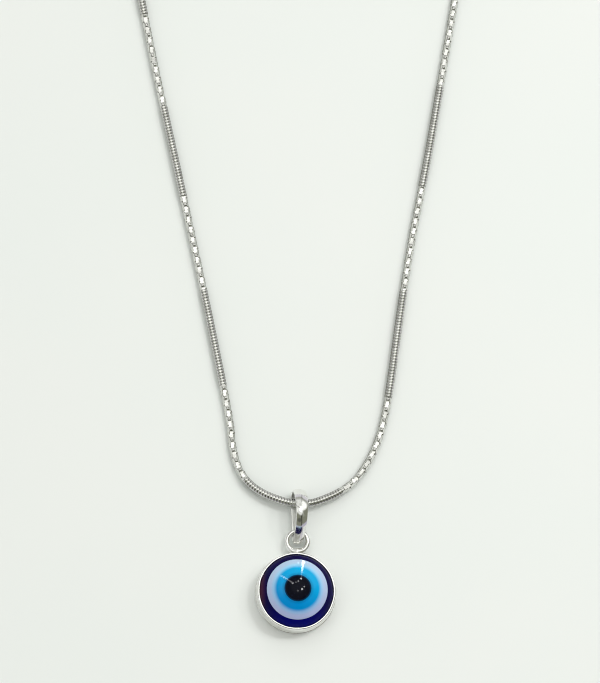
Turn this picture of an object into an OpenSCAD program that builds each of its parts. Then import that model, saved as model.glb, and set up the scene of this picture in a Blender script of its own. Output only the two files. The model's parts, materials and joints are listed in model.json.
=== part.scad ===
// Evil eye pendant on a round snake chain, closed with a claw clasp and lying flat.
// Millimetres. The origin is the centre of the setting's flat back, which rests on the surface.
// +Y runs from the pendant towards the clasp, and +Z is up.

/* [Chain] */
// Diameter of the snake chain
chain_d = 1.2; // [1:0.1:1.4]

/* [Setting] */
// Diameter of the back plate
plate_d = 12; // [11:0.5:16]
// Thickness of the back plate
plate_t = 0.5; // [0.4:0.05:0.8]
// Width of the plate's edge outside the wall
plate_edge = 0.06; // [0.04:0.01:0.15]
// Thickness of the wall
wall_t = 0.4; // [0.3:0.05:0.5]
// Height of the rim above the flat back
rim_h = 2.75; // [2.4:0.05:3.4]
// How far the outside of the wall leans in at the rim
rim_lean = 0.16; // [0.1:0.01:0.22]

/* [Soldered ring] */
// Outer diameter of the ring
ring_d = 3.8; // [3.6:0.1:5]
// Diameter of its wire
ring_wire = 0.7; // [0.5:0.02:0.74]
// Depth of the solder joint in the wall
ring_sink = 0.14; // [0.1:0.02:0.2]
// Turn of the ring about the setting, to the right
ring_turn = 1.8; // [0:0.2:4]

/* [Eye] */
// Height of the rim above the glass's widest line
rim_hold = 0.75; // [0.5:0.05:1]
// Height of the dome above the glass's widest line
dome_h = 3.4; // [2.6:0.1:4.5]
// Width of the dark blue ring
navy_w = 1.02; // [0.8:0.02:1.4]
// Width of the white ring
white_w = 1.05; // [0.7:0.05:1.4]
// Width of the light blue ring
iris_w = 1.44; // [1:0.04:1.8]
// Depth of each inlaid colour at its edge
layer_t = 0.6; // [0.4:0.05:0.8]

/* [Bail] */
// Length of the bail
bail_l = 8.3; // [7.8:0.1:11]
// Depth of the bail at its wide end
bail_top_d = 4.3; // [3.8:0.1:4.8]
// Diameter of the wide end's round tip
bail_tip_d = 3; // [2.4:0.1:3.4]
// Depth of the bail at its narrow end
bail_end_d = 1.35; // [1.25:0.05:2]
// Slope of the front leg
front_slope = 46.5; // [44:0.5:54]
// Radius of the bow in which the front leg starts
front_bow = 3.4; // [2:0.1:4.5]
// Thickness of the band
band_t = 0.5; // [0.4:0.05:0.55]
// Width of the band at the wide end
band_w = 1.9; // [1.6:0.05:2.2]
// Width of the band at the narrow end
band_end_w = 1.5; // [1.3:0.05:1.6]
// Height of the band's crown above its edges
band_crown = 0.2; // [0.1:0.02:0.34]
// Lean of the bail to the right
bail_lean = 7; // [0:1:16]
// How far to the right of the setting's middle the bail crosses the ring
bail_right = 0.36; // [0.1:0.02:0.4]

/* [Clasp] */
// Diameter of the chain's end caps
cap_d = 2.2; // [2.1:0.1:2.6]
// Length of an end cap
cap_l = 3.6; // [3:0.1:5]
// Thickness of an end cap's closed end
cap_end_t = 0.6; // [0.4:0.1:1]
// Wire of the end caps' and the clasp's loops
loop_wire = 0.5; // [0.4:0.05:0.6]
// Outer diameter of those loops
loop_d = 2.2; // [2.1:0.1:2.4]
// Outer diameter of the ring that the claw catches
catch_ring_d = 3.6; // [3.4:0.1:4.2]
// Outer diameter of the ring at the clasp's tail
tail_ring_d = 3.4; // [3.2:0.1:4]
// Wire of both rings
link_wire = 0.5; // [0.4:0.05:0.55]
// Length of the clasp without its loop
clasp_l = 9.5; // [8:0.5:12]
// Thickness of the clasp's body
clasp_t = 1.2; // [1:0.1:1.6]
// Outer diameter of the claw's round end
claw_d = 4; // [3.8:0.1:4.4]
// Thickness of the claw
claw_wire = 0.8; // [0.7:0.05:0.9]
// Width of the clasp at its tail
tail_w = 1.9; // [1.6:0.1:2.4]

/* [Hidden] */
$fn = 64;

// Clearances
glass_gap = 0.05;
layer_gap = 0.03;
link_gap = 0.12;
seat_gap = 0.22;
bore_gap = 0.2;

// Glass and wall
chain_r = chain_d / 2;
wall_r = plate_d / 2 - plate_edge;
glass_r = wall_r - wall_t - glass_gap;
girdle_h = rim_h - rim_hold;
white_r = glass_r - navy_w;
iris_r = white_r - white_w;
pupil_r = iris_r - iris_w;
dome_steps = 20;

// Radius of the glass at a height above its widest line, and its height at a radius
function dome_radius(z) = glass_r * sqrt(1 - pow((z - girdle_h) / dome_h, 2));
function dome_height(r) = girdle_h + dome_h * sqrt(1 - pow(r / glass_r, 2));

// Ring and bail along Y
ring_hole_r = ring_d / 2 - ring_wire;
ring_mean_r = (ring_d - ring_wire) / 2;
ring_y = wall_r + ring_d / 2 - ring_sink;
bail_y = ring_y - 0.4 * ring_hole_r;
bail_big_r = bail_top_d / 2;
bail_small_r = bail_end_d / 2;
bail_eye_y = bail_y + bail_l - bail_big_r;
bail_tip_r = bail_tip_d / 2;
bail_tip_y = bail_y + bail_l - bail_tip_r;
bail_small_y = bail_y + bail_small_r;

// The bail's outline: two round ends, a flat back leg, a top that bows up from the wide end's tip to the
// highest line, and a front leg that bends down from there in a bow and slopes straight to the narrow
// end. A station is [y, z, normal_y, normal_z] on the outer face.
tip_mid = [bail_tip_y, bail_tip_r];
small_mid = [bail_small_y, bail_small_r];
slope_turn = 90 + front_slope;
slope_end = small_mid + bail_small_r * [cos(slope_turn), sin(slope_turn)];
level_y = slope_end[0] + (bail_top_d - slope_end[1]) / tan(front_slope)
    + front_bow * tan(front_slope / 2);
bow_mid = [level_y, bail_top_d - front_bow];
top_bow = (bail_top_d + pow(bail_tip_y - level_y, 2) / (bail_top_d - bail_tip_d)) / 2;
top_mid = [level_y, bail_top_d - top_bow];
tip_turn = atan2(tip_mid[1] - top_mid[1], tip_mid[0] - top_mid[0]);
function on_circle(mid, r, a) = [mid[0] + r * cos(a), mid[1] + r * sin(a), cos(a), sin(a)];
function on_arc(mid, r, start, end, share) = on_circle(mid, r, start + (end - start) * share);
function on_back(share) = [bail_small_y + (bail_tip_y - bail_small_y) * share, 0, 0, -1];
round_steps = 16;
leg_steps = 6;
stations = concat(
    [for (i = [0 : round_steps]) on_arc(tip_mid, bail_tip_r, -90, tip_turn, i / round_steps)],
    [for (i = [1 : leg_steps]) on_arc(top_mid, top_bow, tip_turn, 90, i / leg_steps)],
    [for (i = [1 : leg_steps]) on_arc(bow_mid, front_bow, 90, slope_turn, i / leg_steps)],
    [for (i = [0 : round_steps]) on_arc(small_mid, bail_small_r, slope_turn, 270, i / round_steps)],
    [for (i = [1 : leg_steps - 1]) on_back(i / leg_steps)]);

// The band's width grows from the narrow end to the middle of the wide one
width_power = 1.3;
function band_width(y) = band_end_w + (band_w - band_end_w)
    * pow(min(1, max(0, (y - bail_y) / (bail_eye_y - bail_y))), width_power);

// The band's section: [share of half the width, share of the crown], from left to right, on the
// outside. The inner face is flat.
BAND_SECTION = [[-1, 1], [-0.75, 0.64], [-0.4, 0.24], [0, 0], [0.4, 0.24], [0.75, 0.64], [1, 1]];

function lean(x, z) = [x * cos(bail_lean) + z * sin(bail_lean), z * cos(bail_lean) - x * sin(bail_lean)];
function band_point(s, x, depth) = let (q = lean(x, s[1] - depth * s[3])) [q[0], s[0] - depth * s[2], q[1]];
function band_ring(s) = let (half = band_width(s[0]) / 2) concat(
    [for (p = BAND_SECTION) band_point(s, p[0] * half, p[1] * band_crown)],
    [band_point(s, half, band_t), band_point(s, -half, band_t)]);
bail_raw = [for (s = stations) each band_ring(s)];
bail_low = min([for (p = bail_raw) p[2]]);

// Highest point of the leaning back leg's inner face where the band has a given width
function leg_top(width) = lean(-width / 2, band_t)[1] - bail_low;
ring_z = leg_top(band_width(ring_y + ring_mean_r)) + link_gap + ring_wire / 2;
seat_z = leg_top(band_w) + seat_gap + chain_r;

// The bail leans about the ring's wire, so that its narrow end stays in the middle of the ring
bail_aside = (ring_z + bail_low) * tan(bail_lean);
bail_points = [for (p = bail_raw) p - [bail_aside - bail_right, 0, bail_low]];

// Clasp, rings and caps along X, at the closure's own height. A ring stands upright and passes
// through a loop or claw that lies flat. inside_x is how far along X the middle of the wire
// of the loop or claw lies from the ring's centre, inside the ring.
close_z = cap_d / 2;
loop_mean_r = (loop_d - loop_wire) / 2;
claw_mean_r = (claw_d - claw_wire) / 2;
function link_mean(d) = (d - link_wire) / 2;
function link_drop(d) = d / 2 - close_z;
function inside_x(d, wire) = let (room = link_mean(d) - (link_wire + wire) / 2 - link_gap)
    sqrt(pow(room, 2) - pow(link_drop(d), 2));
claw_x = (claw_d - clasp_l) / 2;
tail_x = clasp_l / 2;
tail_loop_x = tail_x + loop_mean_r - loop_wire / 4;
catch_x = claw_x - claw_mean_r - inside_x(catch_ring_d, claw_wire);
tail_ring_x = tail_loop_x + loop_mean_r + inside_x(tail_ring_d, loop_wire);
left_loop_x = catch_x - inside_x(catch_ring_d, loop_wire) - loop_mean_r;
right_loop_x = tail_ring_x + inside_x(tail_ring_d, loop_wire) + loop_mean_r;
bore_r = chain_r + bore_gap;

// Where the chain's ends sit in their caps, and how far each runs straight, to just past the mouth
past_mouth = 0.4;
end_reach = loop_mean_r + cap_end_t + link_gap;
left_end_x = left_loop_x - end_reach;
right_end_x = right_loop_x + end_reach;
end_straight = cap_l - cap_end_t + past_mouth;

// The chain's route: [x, y, lift], with y counted from the middle of the bail's wide end. Lift is the
// share of the rise over the bail's back leg. The list runs from the clasp down the left side,
// through the bail and up the right side. The clasp end has its own straight run into each cap.
close_y = 195;
ROUTE = [
    [-22.5, 193, 0],
    [-30, 186, 0],
    [-35, 175, 0],
    [-36.5, 161, 0],
    [-35.5, 147, 0],
    [-33, 130, 0],
    [-29, 108, 0],
    [-25.5, 88, 0],
    [-21.8, 69, 0],
    [-18, 51.5, 0],
    [-14.2, 34, 0],
    [-10.8, 17.5, 0],
    [-9.8, 12, 0],
    [-9.4, 8.5, 0],
    [-8.6, 5.6, 0.1],
    [-7.2, 3.3, 0.25],
    [-5.2, 1.7, 0.5],
    [-2.8, 0.6, 0.85],
    [-0.6, 0.05, 1],
    [2.1, 0.05, 1],
    [4.4, 0.8, 0.85],
    [6.7, 2, 0.55],
    [8.8, 3.7, 0.3],
    [10.6, 6.2, 0.1],
    [12.1, 9.3, 0],
    [13.2, 13, 0],
    [14.2, 18.5, 0],
    [15.7, 29, 0],
    [17.6, 41, 0],
    [20.2, 54.5, 0],
    [22.9, 70, 0],
    [26, 88, 0],
    [29.5, 108, 0],
    [33.3, 130, 0],
    [35.5, 147, 0],
    [36.5, 161, 0],
    [35, 175, 0],
    [30, 186, 0],
    [22.5, 193, 0]];
function closure_point(x) = [x, bail_eye_y + close_y, close_z];
chain_path = concat(
    [closure_point(left_end_x), closure_point(left_end_x - end_straight)],
    [for (p = ROUTE) [p[0], bail_eye_y + p[1], chain_r + p[2] * (seat_z - chain_r)]],
    [closure_point(right_end_x + end_straight), closure_point(right_end_x)]);

// A smooth curve through the path, with a ring at each point and between points that lie far apart
ring_pitch = 8;
tube_sides = 8;
last = len(chain_path) - 1;
function before(i) = i == 0 ? 2 * chain_path[0] - chain_path[1] : chain_path[i - 1];
function after(i) = i + 1 > last ? 2 * chain_path[last] - chain_path[last - 1] : chain_path[i + 1];
function curve(a, b, c, d, t) = 0.5 * (2 * b + (c - a) * t + (2 * a - 5 * b + 4 * c - d) * t * t
    + (3 * b - a - 3 * c + d) * t * t * t);
function curve_way(a, b, c, d, t) = 0.5 * ((c - a) + 2 * (2 * a - 5 * b + 4 * c - d) * t
    + 3 * (3 * b - a - 3 * c + d) * t * t);
function steps_of(i) = ceil(norm(chain_path[i + 1] - chain_path[i]) / ring_pitch);
tube_stations = concat(
    [for (i = [0 : last - 1])
        let (a = before(i), b = chain_path[i], c = chain_path[i + 1], d = after(i + 1))
        for (k = [0 : steps_of(i) - 1]) let (t = k / steps_of(i), p = curve(a, b, c, d, t))
            [[p[0], p[1], max(p[2], chain_r)], curve_way(a, b, c, d, t)]],
    [[chain_path[last], chain_path[last] - chain_path[last - 1]]]);
corner_r = chain_r / cos(180 / tube_sides);
function unit(v) = v / norm(v);
function tube_ring(s) = let (way = unit(s[1]), side = unit(cross([0, 0, 1], way)), up = cross(way, side))
    [for (k = [0 : tube_sides - 1]) let (a = 360 * (k + 0.5) / tube_sides)
        s[0] + corner_r * (side * cos(a) + up * sin(a))];
tube_points = [for (s = tube_stations) each tube_ring(s)];

// Triangles of a tube of rings that all have as many points
function skin(rings, sides, closed) = [for (i = [0 : rings - (closed ? 1 : 2)]) for (k = [0 : sides - 1])
    let (a = i * sides + k, b = i * sides + (k + 1) % sides, c = ((i + 1) % rings) * sides + k,
         d = ((i + 1) % rings) * sides + (k + 1) % sides) each [[a, c, b], [b, c, d]]];

module chain() {
    rings = len(tube_stations);
    start = [for (k = [0 : tube_sides - 1]) k];
    end = [for (k = [0 : tube_sides - 1]) rings * tube_sides - 1 - k];
    color("silver") polyhedron(tube_points, concat([start], skin(rings, tube_sides, false), [end]), 4);
}

module bail() {
    sides = len(BAND_SECTION) + 2;
    color("silver") polyhedron(bail_points, skin(len(stations), sides, true), 10);
}

module torus(mean_r, wire) {
    rotate_extrude() translate([mean_r, 0]) circle(d = wire);
}

// Cup of plate and burnished wall, with the ring soldered to it
module bezel_setting() {
    plate_round = plate_t / 4;
    rim_round = wall_t / 4;
    hold_steps = 6;
    rim_r = wall_r - rim_lean;
    upright_h = girdle_h / 2;
    inner = [for (i = [0 : hold_steps]) let (z = girdle_h + (rim_hold - rim_round) * i / hold_steps)
        [dome_radius(z) + glass_gap, z]];
    lip_r = inner[hold_steps][0];
    color("silver") {
        rotate_extrude() polygon(concat(
            [[0, 0], [plate_d / 2 - plate_round, 0], [plate_d / 2, plate_round],
             [plate_d / 2, plate_t - plate_round / 2], [plate_d / 2 - plate_round / 2, plate_t],
             [wall_r, plate_t],
             [wall_r, upright_h], [rim_r, rim_h - rim_round], [rim_r - rim_round, rim_h],
             [lip_r + rim_round, rim_h]],
            [for (i = [hold_steps : -1 : 0]) inner[i]],
            [[glass_r + glass_gap, plate_t], [0, plate_t]]));
        rotate([0, 0, -ring_turn]) translate([0, ring_y, ring_z]) torus(ring_mean_r, ring_wire);
    }
}

// Points on the dome from one radius to another
function dome_line(r0, r1) = [for (i = [0 : dome_steps]) let (r = r0 + (r1 - r0) * i / dome_steps)
    [r, dome_height(r)]];
function floor_of(r) = dome_height(r) - layer_t;

// A coloured layer: its face is on the dome from the next colour's edge to its own
module layer(r, inner_r, base_z) {
    rotate_extrude() polygon(concat(
        [[0, base_z], [r - layer_gap, base_z]],
        dome_line(r - layer_gap, inner_r),
        [[inner_r, floor_of(inner_r)], [0, floor_of(inner_r)]]));
}

module eye_glass() {
    arc_steps = 14;
    low_edge = 0.3;
    base_z = plate_t + glass_gap;
    side = [for (i = [0 : arc_steps]) let (a = acos(white_r / glass_r) * i / arc_steps)
        [glass_r * cos(a), girdle_h + dome_h * sin(a)]];
    color("midnightblue") rotate_extrude() polygon(concat(
        [[0, base_z], [glass_r - low_edge, base_z], [glass_r, base_z + low_edge]],
        side,
        [[white_r, floor_of(white_r)], [0, floor_of(white_r)]]));
}

module eye_white() {
    color("lavender") layer(white_r, iris_r, floor_of(white_r) + layer_gap);
}

module eye_iris() {
    color("deepskyblue") layer(iris_r, pupil_r, floor_of(iris_r) + layer_gap);
}

module eye_pupil() {
    color("black") rotate_extrude() polygon(concat(
        [[0, floor_of(pupil_r) + layer_gap], [pupil_r - layer_gap, floor_of(pupil_r) + layer_gap]],
        dome_line(pupil_r - layer_gap, 0)));
}

// Cap with its mouth towards -X and its loop at the origin
module end_cap() {
    color("silver") {
        difference() {
            translate([-loop_mean_r, 0, 0]) rotate([0, -90, 0]) cylinder(d = cap_d, h = cap_l);
            translate([-loop_mean_r - cap_end_t, 0, 0]) rotate([0, -90, 0]) cylinder(r = bore_r, h = cap_l);
        }
        torus(loop_mean_r, loop_wire);
    }
}

module end_cap_left() {
    translate(closure_point(left_loop_x)) end_cap();
}

module end_cap_right() {
    translate(closure_point(right_loop_x)) mirror([1, 0, 0]) end_cap();
}

// Upright ring that stands on the surface
module link(x, d) {
    color("silver") translate([x, bail_eye_y + close_y, d / 2]) rotate([90, 0, 0])
        torus(link_mean(d), link_wire);
}

module catch_ring() {
    link(catch_x, catch_ring_d);
}

module tail_ring() {
    link(tail_ring_x, tail_ring_d);
}

// Claw with a round hooked end, a tapering body and a loop at its tail
module clasp() {
    shoulder_x = claw_x + claw_d / 12;
    color("silver") translate(closure_point(0)) {
        translate([claw_x, 0, 0]) torus(claw_mean_r, claw_wire);
        translate([0, 0, -clasp_t / 2]) linear_extrude(clasp_t) difference() {
            union() {
                polygon([[shoulder_x, claw_d / 2], [shoulder_x, -claw_d / 2],
                         [tail_x - tail_w / 2, -tail_w / 2], [tail_x - tail_w / 2, tail_w / 2]]);
                translate([tail_x - tail_w / 2, 0]) circle(d = tail_w);
            }
            translate([claw_x, 0]) circle(claw_mean_r);
        }
        translate([tail_loop_x, 0, 0]) torus(loop_mean_r, loop_wire);
    }
}

chain();
bail();
bezel_setting();
eye_glass();
eye_white();
eye_iris();
eye_pupil();
end_cap_left();
end_cap_right();
catch_ring();
tail_ring();
clasp();
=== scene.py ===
"""Looks of the evil eye pendant on its snake chain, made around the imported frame. Metres throughout."""

import json
import math

import bpy
import numpy as np
from mathutils import Matrix, Vector

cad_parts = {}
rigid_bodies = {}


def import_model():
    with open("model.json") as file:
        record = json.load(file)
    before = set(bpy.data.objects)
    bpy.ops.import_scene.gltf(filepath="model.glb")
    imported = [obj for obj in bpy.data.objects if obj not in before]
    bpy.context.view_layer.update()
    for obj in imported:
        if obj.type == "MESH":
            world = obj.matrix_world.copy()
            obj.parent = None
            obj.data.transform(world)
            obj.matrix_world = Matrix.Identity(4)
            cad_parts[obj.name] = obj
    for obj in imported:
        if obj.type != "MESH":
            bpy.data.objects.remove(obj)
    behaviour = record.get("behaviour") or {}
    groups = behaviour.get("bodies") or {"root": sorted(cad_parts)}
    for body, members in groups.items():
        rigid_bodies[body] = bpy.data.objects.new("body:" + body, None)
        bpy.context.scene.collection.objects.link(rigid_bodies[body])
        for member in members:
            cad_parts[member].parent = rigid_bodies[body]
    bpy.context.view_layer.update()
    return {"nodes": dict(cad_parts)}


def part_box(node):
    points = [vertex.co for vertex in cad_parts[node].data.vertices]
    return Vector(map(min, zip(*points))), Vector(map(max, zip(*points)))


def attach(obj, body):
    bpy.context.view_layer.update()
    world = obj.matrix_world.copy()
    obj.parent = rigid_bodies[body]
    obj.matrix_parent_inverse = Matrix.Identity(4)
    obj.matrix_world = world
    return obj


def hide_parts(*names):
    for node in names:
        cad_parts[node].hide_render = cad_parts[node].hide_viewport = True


for leftover in list(bpy.data.objects):
    bpy.data.objects.remove(leftover)
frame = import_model()
scene = bpy.context.scene

# The photograph's frame, and the camera that took it: above the floor, a little to the lower left
IMAGE_WIDTH = 600
IMAGE_HEIGHT = 683
CAMERA_PLACE = Vector((-0.04393, -0.10349, 0.58937))
CAMERA_TARGET = Vector((0.000696, 0.038385, 0))
CAMERA_LENS = 213.68
SENSOR = 36

# Chain
CHAIN_D = 0.0012
CHAIN_R = CHAIN_D / 2
RIB_PITCH = 0.00045
RIB_DEPTH = 0.00009
RIB_SHARES = np.array([0, 0.08, 0.28, 0.5, 0.72, 0.92])  # where along a rib its rows of points lie
CHAIN_COLUMNS = 30
SEAM_SWING = 0.05  # how far a seam swings along the chain, as a share of the rib pitch
SEAM_WAVES = 6  # waves of a seam, and its notches, once round the chain
SEAM_POINTED = 0.95  # how pointed those waves are: 1 would be a zigzag
SEAM_POWER = 3.2  # how narrow a seam is
TOOTH_TURN = math.radians(-32)  # where round the chain the first row of deep seam notches runs
SEAM_LEAST = 0.24  # depth of a seam between its notches, as a share of the notches' depth
LEFT_SECTION = 0.01475  # length of each plain or cut stretch, left and right of the bail
RIGHT_SECTION = 0.0166
LEFT_PLAIN_END = -0.0094  # where the plain stretch through the bail ends, along the chain from the bail
RIGHT_PLAIN_END = 0.0064
PAINTED_FLANK_FROM = math.cos(math.radians(26))  # painted shade: the chain's sides are darker in colour, from this turn round to the next
PAINTED_FLANK_FULL = math.cos(math.radians(60))
PAINTED_FLANK_INNER = 0.8  # more painted shade on the side towards the inside of the loop
PAINTED_FLANK_OUTER = 0.45
FACET_PITCH = 0.0016
FACET_ROWS = 6
FACET_STARTS = 3  # every third row starts at the same place, so that the facets wind round the chain
FACET_LEAN = math.radians(5)  # how unevenly the facets are cut
FACET_UNEVEN = 2.4  # step of the lean's wave from one facet to the next
FACET_ROW_UNEVEN = 2  # and from one row to the next
FACET_PAINTED_SHADE = 0.7  # share of the sides' painted shade that a facet keeps
FACET_DEPTH = 0.00013
FACET_FLAT = 0.0004  # half length of a facet's flat middle
FACET_LENGTH = 0.0014
CAP_REACH = 0.00288  # how far the chain reaches into an end cap
CAP_STRAIGHT = 0.0034  # length of its straight run there, to just past the mouth
CURVE_STEP = 0.00005  # spacing of the points along the chain's middle

# Bail
BAIL_TOP_D = 0.0043
BAIL_TIP_D = 0.003
BAIL_END_D = 0.00135
BAND_T = 0.0005
BAND_W = 0.0019
BAND_END_W = 0.0015
BAND_CROWN = 0.0002
CROWN_POWER = 1.54
BAND_EDGE_R = 0.00007
BAND_POWER = 1.3
BAIL_LEAN = math.radians(7)
BAIL_RIGHT = 0.00036  # how far to the right of the setting's middle the bail crosses the ring
BAIL_EYE_X = 0.0007  # where the chain passes through the bail
FRONT_SLOPE = 46.5  # slope of the front leg, in degrees
FRONT_BOW_R = 0.0034  # radius of the bow in which the front leg starts
BEND_STEPS = 64  # points round each of the loop's two ends
LEG_STEPS = 48  # points along each part of the legs between them
BAND_SHARP = math.radians(50)  # an edge that turns by more than this isn't smoothed

# Setting
PLATE_R = 0.006
PLATE_T = 0.0005
WALL_R = 0.00594
WALL_T = 0.0004
RIM_H = 0.00275
RIM_LEAN = 0.00016  # how far the rim leans in over the wall's foot
RIM_FLARE = 0.00002  # and how much less the wall does just below it
BURNISH_OUT = 0.000025  # unevenness of the rim, outwards and upwards
BURNISH_UP = 0.00002
SETTING_COLUMNS = 288
RING_D = 0.0038
RING_WIRE = 0.0007
RING_Z = 0.00109
RING_TURN = math.radians(1.8)
RING_ROWS = 120
WIRE_COLUMNS = 32
SOLDER_SWELL = 0.00024  # how much the solder thickens the ring's wire at the wall
SOLDER_SPREAD = 0.5
LUMP_SWELL = 0.00007  # and on its right side
LUMP_SPREAD = 0.6
LUMP_TURN = 0.35  # how far below the level of the ring's middle that is, in radians
EDGE_SHARP = math.radians(40)  # like BAND_SHARP, for the setting and the eye
# Waves of the rim's unevenness: share, number round the rim and phase
BURNISH_WAVES = [(0.6, 5, 0.6), (0.3, 11, 2.1), (0.1, 19, 4.4)]
# The wall's outer side: share of the girdle's height, and how far it leans in there
WALL_LEAN = [(0.4, 0), (0.55, 0.00001), (0.8, 0.00005)]
LIP_GAP = 0.00003  # between the glass and the wall's upper half

# Eye
GLASS_R = 0.00549
WHITE_R = 0.00447
IRIS_R = 0.00342
PUPIL_R = 0.00198
GIRDLE_H = 0.002
DOME_H = 0.0034
LAYER_T = 0.0006
GLASS_PLAY = 0.00005  # room under and round the glass
GLASS_CHAMFER = 0.0003
EYE_COLUMNS = 192
NAVY_ROWS = 24  # rows of points on the dome, by colour
WHITE_ROWS = 16
IRIS_ROWS = 20
PUPIL_ROWS = 24

# The chain's route: [x, y, lift], with y counted from the middle of the bail's wide end. Lift is the
# share of the rise over the bail's back leg.
ROUTE = [
    [-0.0225, 0.193, 0],
    [-0.03, 0.186, 0],
    [-0.035, 0.175, 0],
    [-0.0365, 0.161, 0],
    [-0.0355, 0.147, 0],
    [-0.033, 0.13, 0],
    [-0.029, 0.108, 0],
    [-0.0255, 0.088, 0],
    [-0.0218, 0.069, 0],
    [-0.018, 0.0515, 0],
    [-0.0142, 0.034, 0],
    [-0.0108, 0.0175, 0],
    [-0.0098, 0.012, 0],
    [-0.0094, 0.0085, 0],
    [-0.0086, 0.0056, 0.1],
    [-0.0072, 0.0033, 0.25],
    [-0.0052, 0.0017, 0.5],
    [-0.0028, 0.0006, 0.85],
    [-0.0006, 0.00005, 1],
    [0.0021, 0.00005, 1],
    [0.0044, 0.0008, 0.85],
    [0.0067, 0.002, 0.55],
    [0.0088, 0.0037, 0.3],
    [0.0106, 0.0062, 0.1],
    [0.0121, 0.0093, 0],
    [0.0132, 0.013, 0],
    [0.0142, 0.0185, 0],
    [0.0157, 0.029, 0],
    [0.0176, 0.041, 0],
    [0.0202, 0.0545, 0],
    [0.0229, 0.07, 0],
    [0.026, 0.088, 0],
    [0.0295, 0.108, 0],
    [0.0333, 0.13, 0],
    [0.0355, 0.147, 0],
    [0.0365, 0.161, 0],
    [0.035, 0.175, 0],
    [0.03, 0.186, 0],
    [0.0225, 0.193, 0],
]

# Places taken from the frame
BAIL_LOW, BAIL_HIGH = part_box("bail")
BAIL_END_Y = BAIL_LOW.y
BAIL_EYE_Y = BAIL_HIGH.y - BAIL_TOP_D / 2
SEAT_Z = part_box("chain")[1].z - CHAIN_R
RING_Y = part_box("bezel_setting")[1].y - RING_D / 2


# Camera, floor and light

def camera_axes():
    """The camera's right, up and backward directions. Its right is level."""
    back = (CAMERA_PLACE - CAMERA_TARGET).normalized()
    right = Vector((0, 1, 0)).cross(back).normalized()
    return right, back.cross(right), back


def make_camera():
    """The camera of the photograph, with the photograph's frame."""
    right, up, back = camera_axes()
    data = bpy.data.cameras.new("camera")
    data.lens = CAMERA_LENS
    data.sensor_width = SENSOR
    data.clip_start = 0.01
    data.clip_end = 20
    camera = bpy.data.objects.new("camera", data)
    scene.collection.objects.link(camera)
    camera.matrix_world = Matrix((right, up, back)).transposed().to_4x4()
    camera.location = CAMERA_PLACE
    scene.camera = camera


def ray_through(pixel):
    """Direction of the camera's ray through a pixel of the photograph."""
    right, up, back = camera_axes()
    focal = CAMERA_LENS / SENSOR * IMAGE_HEIGHT
    across = pixel[0] - IMAGE_WIDTH / 2
    above = IMAGE_HEIGHT / 2 - pixel[1]
    return (right * across + up * above - back * focal).normalized()


def glint_way(pixel):
    """Direction in which the dome mirrors the camera's ray through a pixel."""
    ray = ray_through(pixel)
    flat = Vector((1, 1, GLASS_R / DOME_H))
    centre = Vector((0, 0, GIRDLE_H))
    start = (CAMERA_PLACE - centre) * flat
    way = ray * flat
    half = start.dot(way)
    reach = -half - math.sqrt(half * half - way.dot(way) * (start.dot(start) - GLASS_R ** 2))
    place = CAMERA_PLACE + ray * (reach / way.dot(way))
    normal = ((place - centre) * flat * flat).normalized()
    return ray - 2 * ray.dot(normal) * normal


def add_node(tree, kind, values=None, links=None, **settings):
    """A new node with its settings, its own values and its links from other sockets."""
    new = tree.nodes.new(kind)
    for name, value in settings.items():
        setattr(new, name, value)
    for name, value in (values or {}).items():
        new.inputs[name].default_value = value
    for name, socket in (links or {}).items():
        tree.links.new(socket, new.inputs[name])
    return new


def smooth_step(tree, socket, low, high, start=0.0, end=1.0):
    """The socket's value from low to high, mapped smoothly to start and end."""
    values = {"From Min": low, "From Max": high, "To Min": start, "To Max": end}
    mapped = add_node(tree, "ShaderNodeMapRange", values, {"Value": socket},
                      interpolation_type="SMOOTHSTEP")
    return mapped.outputs["Result"]


def mix_colours(tree, factor, first, second):
    """A mix of two colours, each a socket or a plain colour."""
    mix = add_node(tree, "ShaderNodeMix", data_type="RGBA")
    tree.links.new(factor, mix.inputs[0])
    for slot, colour in ((6, first), (7, second)):
        if isinstance(colour, bpy.types.NodeSocket):
            tree.links.new(colour, mix.inputs[slot])
        else:
            mix.inputs[slot].default_value = (*colour, 1)
    return mix.outputs[2]


def direction(azimuth, elevation):
    """Unit vector. Azimuth is counted in degrees from +X towards +Y, and elevation from the floor."""
    a, e = math.radians(azimuth), math.radians(elevation)
    return Vector((math.cos(a) * math.cos(e), math.sin(a) * math.cos(e), math.sin(e)))


def cap_factor(tree, way, centre, inner, outer):
    """1 within inner degrees of a direction, and 0 beyond outer degrees."""
    dot = add_node(tree, "ShaderNodeVectorMath", links={0: way}, operation="DOT_PRODUCT")
    dot.inputs[1].default_value = centre
    low = math.cos(math.radians(outer))
    high = math.cos(math.radians(inner))
    return smooth_step(tree, dot.outputs["Value"], low, high)


ROOM_LAMP = (1.7, 1.71, 1.66)
ROOM_WINDOW = (1.15, 1.16, 1.12)
ROOM_BRIGHT = (0.8, 0.81, 0.78)
ROOM_DIM = (0.42, 0.43, 0.4)
ROOM_GREY = (0.62, 0.63, 0.6)
ROOM_WALL = (0.36, 0.365, 0.33)
ROOM_OLIVE = (0.21, 0.215, 0.165)
ROOM_SHADE = (0.1, 0.102, 0.085)
ROOM_DARK = (0.04, 0.042, 0.034)
ROOM_FOOT_FAR = (0.66, 0.65, 0.69)
ROOM_FOOT_NEAR = (0.5, 0.48, 0.58)
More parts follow.
